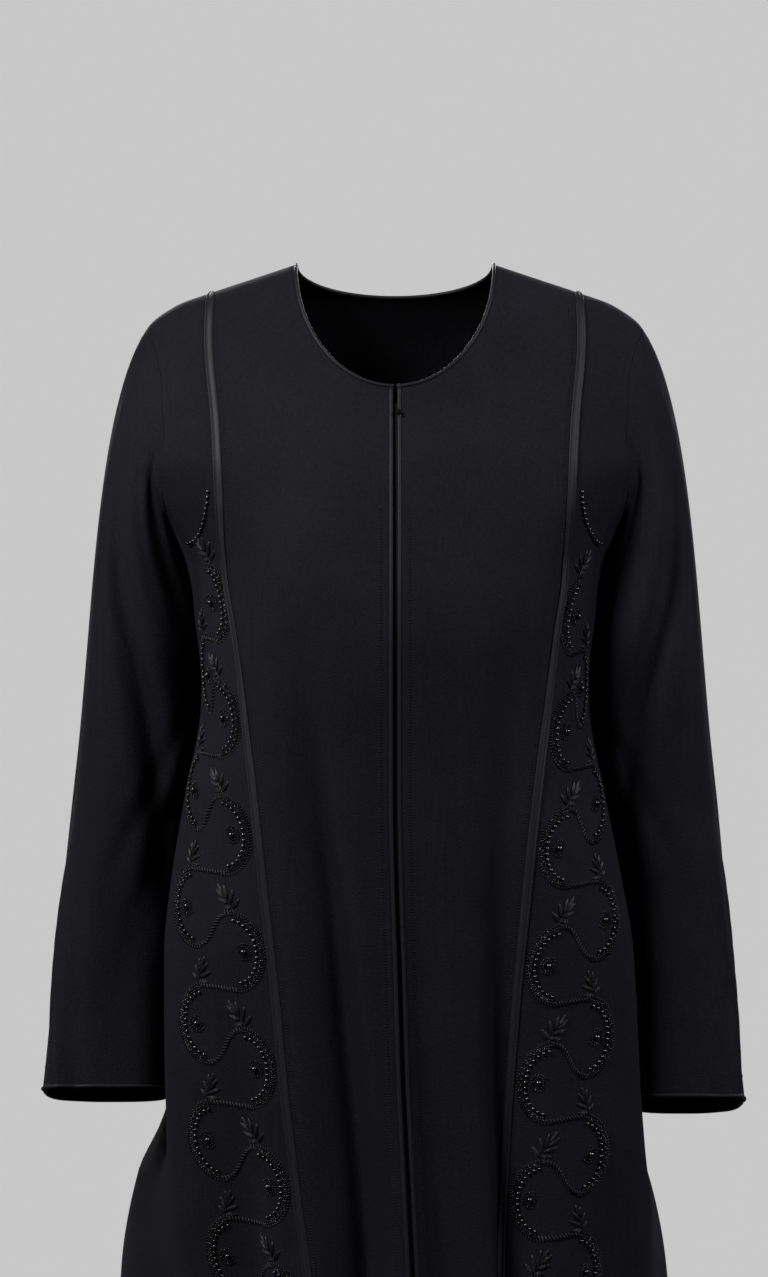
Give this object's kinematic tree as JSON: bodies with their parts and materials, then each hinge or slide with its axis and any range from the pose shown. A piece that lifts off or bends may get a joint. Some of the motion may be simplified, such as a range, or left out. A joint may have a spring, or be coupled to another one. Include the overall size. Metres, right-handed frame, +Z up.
{
  "type": "abaya cloak",
  "caption": "Long black abaya that opens down the front, with satin-banded panel seams, piped edges and beaded vine embroidery on the side fronts, hollow as worn.",
  "frame": {"origin": "between the shoulders, level with the high point of the shoulder seams, where the wearer's shoulders carry the garment", "axes": "+X to the wearer's left, -Y to the front, +Z up"},
  "size_m": [0.5389, 0.3959, 1.4218],
  "materials": {
    "black_crepe": "matte",
    "black_satin": "satin",
    "black_glass": "gloss"
  },
  "bodies": {
    "root": {"front_left": "black_crepe", "front_right": "black_crepe", "side_front_left": "black_crepe", "side_front_right": "black_crepe", "back": "black_crepe", "sleeve_left": "black_crepe", "sleeve_right": "black_crepe", "placket": "black_crepe", "seam_band_left": "black_satin", "seam_band_right": "black_satin", "edge_piping_left": "black_satin", "edge_piping_right": "black_satin", "neck_piping": "black_satin", "cuff_piping_left": "black_satin", "cuff_piping_right": "black_satin", "snap": "black_glass"}
  },
  "joints": []
}
